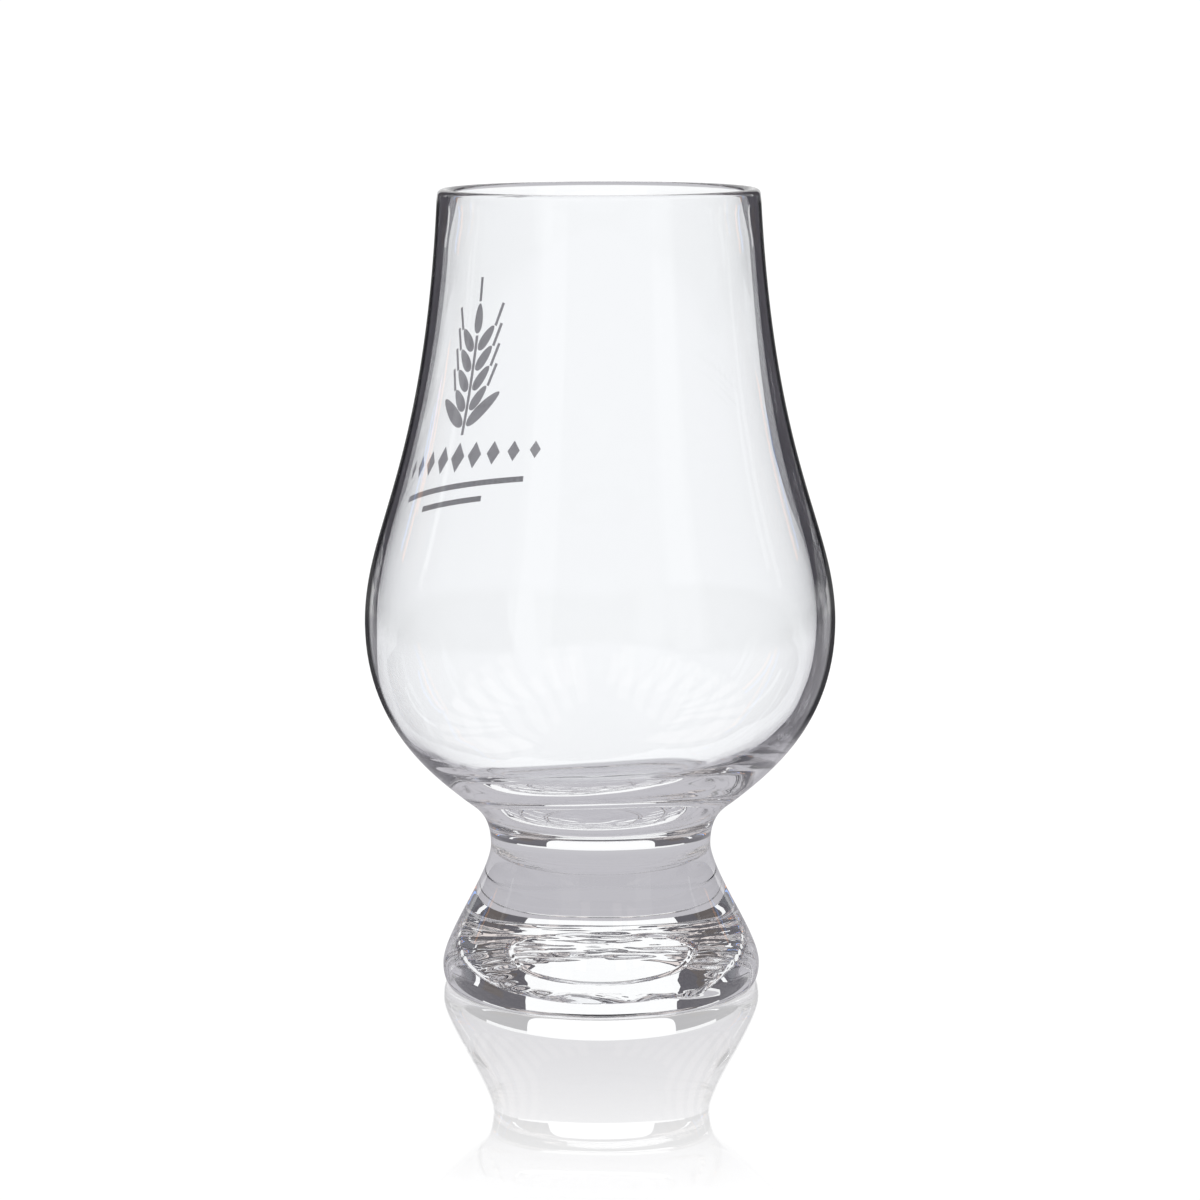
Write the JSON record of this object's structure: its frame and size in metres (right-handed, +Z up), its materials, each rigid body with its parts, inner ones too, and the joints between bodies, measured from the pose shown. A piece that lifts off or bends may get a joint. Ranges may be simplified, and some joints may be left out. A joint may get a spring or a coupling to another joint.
{
  "type": "whisky nosing glass",
  "caption": "Tulip-shaped whisky nosing glass: thin bowl that narrows to the mouth, thick rounded well, short solid flared foot, small grey print on the wall.",
  "frame": {"origin": "centre of the standing ring, on the surface that the glass stands on", "axes": "+Z up the axis of the glass towards the mouth; the print faces the back left, between +Y and -X"},
  "size_m": [0.0676, 0.0676, 0.115],
  "materials": {
    "bowl_glass": "clear colourless crystal, fire-polished",
    "foot_glass": "clear colourless crystal, pressed and fire-polished",
    "print_enamel": "grey fired enamel film, satin"
  },
  "bodies": {
    "root": {"bowl": "bowl_glass", "foot": "foot_glass", "printed_mark": "print_enamel"}
  },
  "joints": []
}
